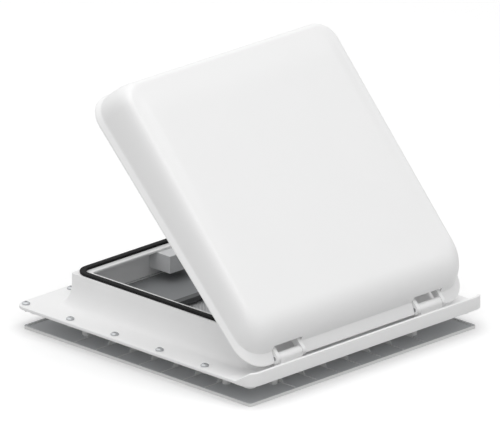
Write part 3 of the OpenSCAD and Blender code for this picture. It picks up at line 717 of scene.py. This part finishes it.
def hang_lamp(scene, name, place, power, side):
    """Square area lamp at a place, aimed at the lamps' shared target."""
    lamp = bpy.data.lights.new(name, "AREA")
    lamp.energy = power
    lamp.size = side
    holder = bpy.data.objects.new(name, lamp)
    scene.collection.objects.link(holder)
    holder.location = place
    holder.rotation_euler = (Vector(LAMP_TARGET) - Vector(place)).to_track_quat("-Z", "Y").to_euler()


def aim_camera(scene):
    """Long-lens camera that looks from the photograph's side. Its angles, lens and aim were fitted to
    the photograph; its distance is a guess, far enough for a nearly parallel view."""
    azimuth, rise = math.radians(-45.12), math.radians(19.67)
    distance, lens_mm, clip_end = 20.0, 1003.7, 60.0
    middle, shift_right, shift_up = Vector((0, 0, 0.060)), 0.00055, 0.10835
    level = math.cos(rise)
    ahead = Vector((-math.sin(azimuth) * level, math.cos(azimuth) * level, -math.sin(rise)))
    right = ahead.cross(Vector((0, 0, 1))).normalized()
    up = right.cross(ahead)
    target = middle + shift_right * right + shift_up * up
    lens = bpy.data.cameras.new("photo")
    lens.lens = lens_mm
    lens.clip_end = clip_end
    camera = bpy.data.objects.new("photo", lens)
    scene.collection.objects.link(camera)
    camera.location = target - distance * ahead
    camera.rotation_euler = ahead.to_track_quat("-Z", "Y").to_euler()
    scene.camera = camera


def shared():
    """Sizes of the pieces, and the finishes, which are made once."""
    scene = bpy.context.scene
    if not FINISH:
        FINISH.update(finishes(scene.vent_colours))
    return scene.vent_sizes, FINISH


class VENT_OT_lid(bpy.types.Operator):
    """Builds the lid's domed shell with its rim and hinge notches"""

    bl_idname = "vent.lid"
    bl_label = "Lid shell"

    def execute(self, context):
        size, finish = shared()
        points, faces = lid_mesh(size)
        piece = make_piece("lid_dome", points, faces, "lid", finish["white_plastic"],
                           ("lid_shell",))
        ear_low, ear_high = PIN_LOW.x - size.notch_gap, PIN_HIGH.x + size.notch_gap
        edge = HINGE[1] - size.lid_edge
        low = HINGE[2] - size.rim_drop - OVERLAP
        high = low + OVERLAP + size.notch_h
        cut_away(piece, [box_mesh([min(k * ear_low, k * ear_high), edge - OVERLAP, low],
                                  [max(k * ear_low, k * ear_high), edge + size.notch_back, high])
                         for k in SIDES.values()])
        count = len(piece.data.vertices)
        flat = np.empty(count * 3)
        piece.data.vertices.foreach_get("co", flat)
        piece.data.vertices.foreach_set("co", opened(flat.reshape(-1, 3)).ravel())
        piece.data.update()
        return {"FINISHED"}


class VENT_OT_roof_frame(bpy.types.Operator):
    """Builds the roof frame: flange, flared upstand, weather bar, corner pads and screw bosses"""

    bl_idname = "vent.roof_frame"
    bl_label = "Roof frame"

    def execute(self, context):
        size, finish = shared()
        under = FLANGE_LOW.z + size.spigot_h
        pad_at = FLANGE_HIGH.x - size.pad_top_r - PAD_INSET
        meshes = [section_sweep(frame_section(size), size.duct_w / 2), weather_bar_mesh(size)]
        pad = [(size.pad_r, under - size.pad_h), (size.pad_top_r, under + OVERLAP)]
        meshes += [lathe(pad, (x * pad_at, y * pad_at, 0)) for x in (-1, 1) for y in (-1, 1)]
        boss = [(size.boss_r, under - size.spigot_h), (size.boss_r, under + OVERLAP)]
        meshes += [lathe(boss, (*place, 0)) for place in boss_places(size)]
        points, faces = joined(meshes)
        make_piece("roof_frame", points, faces, "frame", finish["white_plastic"],
                   ("outer_frame",))
        return {"FINISHED"}


class VENT_OT_seal(bpy.types.Operator):
    """Builds the rubber seal on top of the upstand"""

    bl_idname = "vent.seal"
    bl_label = "Seal"

    def execute(self, context):
        size, finish = shared()
        points, faces = section_sweep(seal_section(size), size.duct_w / 2)
        make_piece("seal_bulb", points, faces, "frame", finish["seal_rubber"],
                   ("frame_seal",), sharp=60.0)
        return {"FINISHED"}


class VENT_OT_hinges(bpy.types.Operator):
    """Builds the two hinge blocks with round tops on the flange"""

    bl_idname = "vent.hinges"
    bl_label = "Hinge blocks"

    def execute(self, context):
        _, finish = shared()
        r = (BARREL_HIGH.y - BARREL_LOW.y) / 2
        round_top = arc(HINGE[1:], r, 0, 180, HINGE_POINTS)
        foot = np.array([[HINGE[1] - r, BARREL_LOW.z], [HINGE[1] + r, BARREL_LOW.z]])
        section = np.concatenate([round_top, foot])
        for side, sign in SIDES.items():
            x0, x1 = sorted((sign * BARREL_LOW.x, sign * BARREL_HIGH.x))
            points, faces = prism(section, x0, x1, FRAME_ROUND)
            make_piece(f"hinge_block_{side}", points, faces, "frame",
                       finish["white_plastic"], (f"frame_hinge_{side}",))
        return {"FINISHED"}


class VENT_OT_net(bpy.types.Operator):
    """Builds the woven insect net held in the screen's frame"""

    bl_idname = "vent.net"
    bl_label = "Insect net"

    def execute(self, context):
        size, finish = shared()
        points, faces = strands(size)
        net = make_piece("insect_net", points, faces, "frame", finish["net"], ("screen_net",))
        return {"FINISHED"}


class VENT_OT_finishes(bpy.types.Operator):
    """Gives each shown CAD node the finish of its material slot, or its own where it has one"""

    bl_idname = "vent.finishes"
    bl_label = "Finishes"

    def execute(self, context):
        _, finish = shared()
        own = {"shade_bar": "bar_plastic", "inner_frame": "trim_plastic"}
        slots = {part["node"]: part["material_slot"] for part in frame["record"]["subparts"]}
        for name, node in frame["nodes"].items():
            key = own.get(name, slots[name])
            node.data.materials.clear()
            node.data.materials.append(finish[key])
        return {"FINISHED"}


class VENT_OT_stage(bpy.types.Operator):
    """Sets the white floor, the world, the lamps and the photograph's camera"""

    bl_idname = "vent.stage"
    bl_label = "Stage"

    def execute(self, context):
        scene = context.scene
        lay_floor(tuple(scene.vent_colours.floor))
        light_world(scene)
        for lamp in LAMPS:
            hang_lamp(scene, *lamp)
        aim_camera(scene)
        scene.view_settings.view_transform = "Standard"
        return {"FINISHED"}


class VENT_PT_panel(bpy.types.Panel):
    """Sidebar panel with the vent's sizes, colours and builders"""

    bl_label = "Roof vent"
    bl_idname = "VENT_PT_panel"
    bl_space_type = "VIEW_3D"
    bl_region_type = "UI"
    bl_category = "Roof vent"

    def draw(self, context):
        layout = self.layout
        for group in (context.scene.vent_sizes, context.scene.vent_colours):
            box = layout.box()
            for key in group.__annotations__:
                box.prop(group, key)
        for operator in OPERATORS:
            layout.operator(operator.bl_idname)


OPERATORS = (VENT_OT_lid, VENT_OT_roof_frame, VENT_OT_seal, VENT_OT_hinges, VENT_OT_net,
             VENT_OT_finishes, VENT_OT_stage)
CLASSES = (VentSizes, VentColours, *OPERATORS, VENT_PT_panel)


def register():
    """Registers the classes and hangs the two property groups on the scene."""
    for cls in CLASSES:
        bpy.utils.register_class(cls)
    bpy.types.Scene.vent_sizes = PointerProperty(type=VentSizes)
    bpy.types.Scene.vent_colours = PointerProperty(type=VentColours)


def unregister():
    """Takes the property groups and the classes away again."""
    del bpy.types.Scene.vent_colours
    del bpy.types.Scene.vent_sizes
    for cls in reversed(CLASSES):
        bpy.utils.unregister_class(cls)


def main():
    """Builds every piece and the stage."""
    register()
    bpy.ops.vent.lid()
    bpy.ops.vent.roof_frame()
    bpy.ops.vent.seal()
    bpy.ops.vent.hinges()
    bpy.ops.vent.net()
    bpy.ops.vent.finishes()
    bpy.ops.vent.stage()


if __name__ == "__main__":
    main()
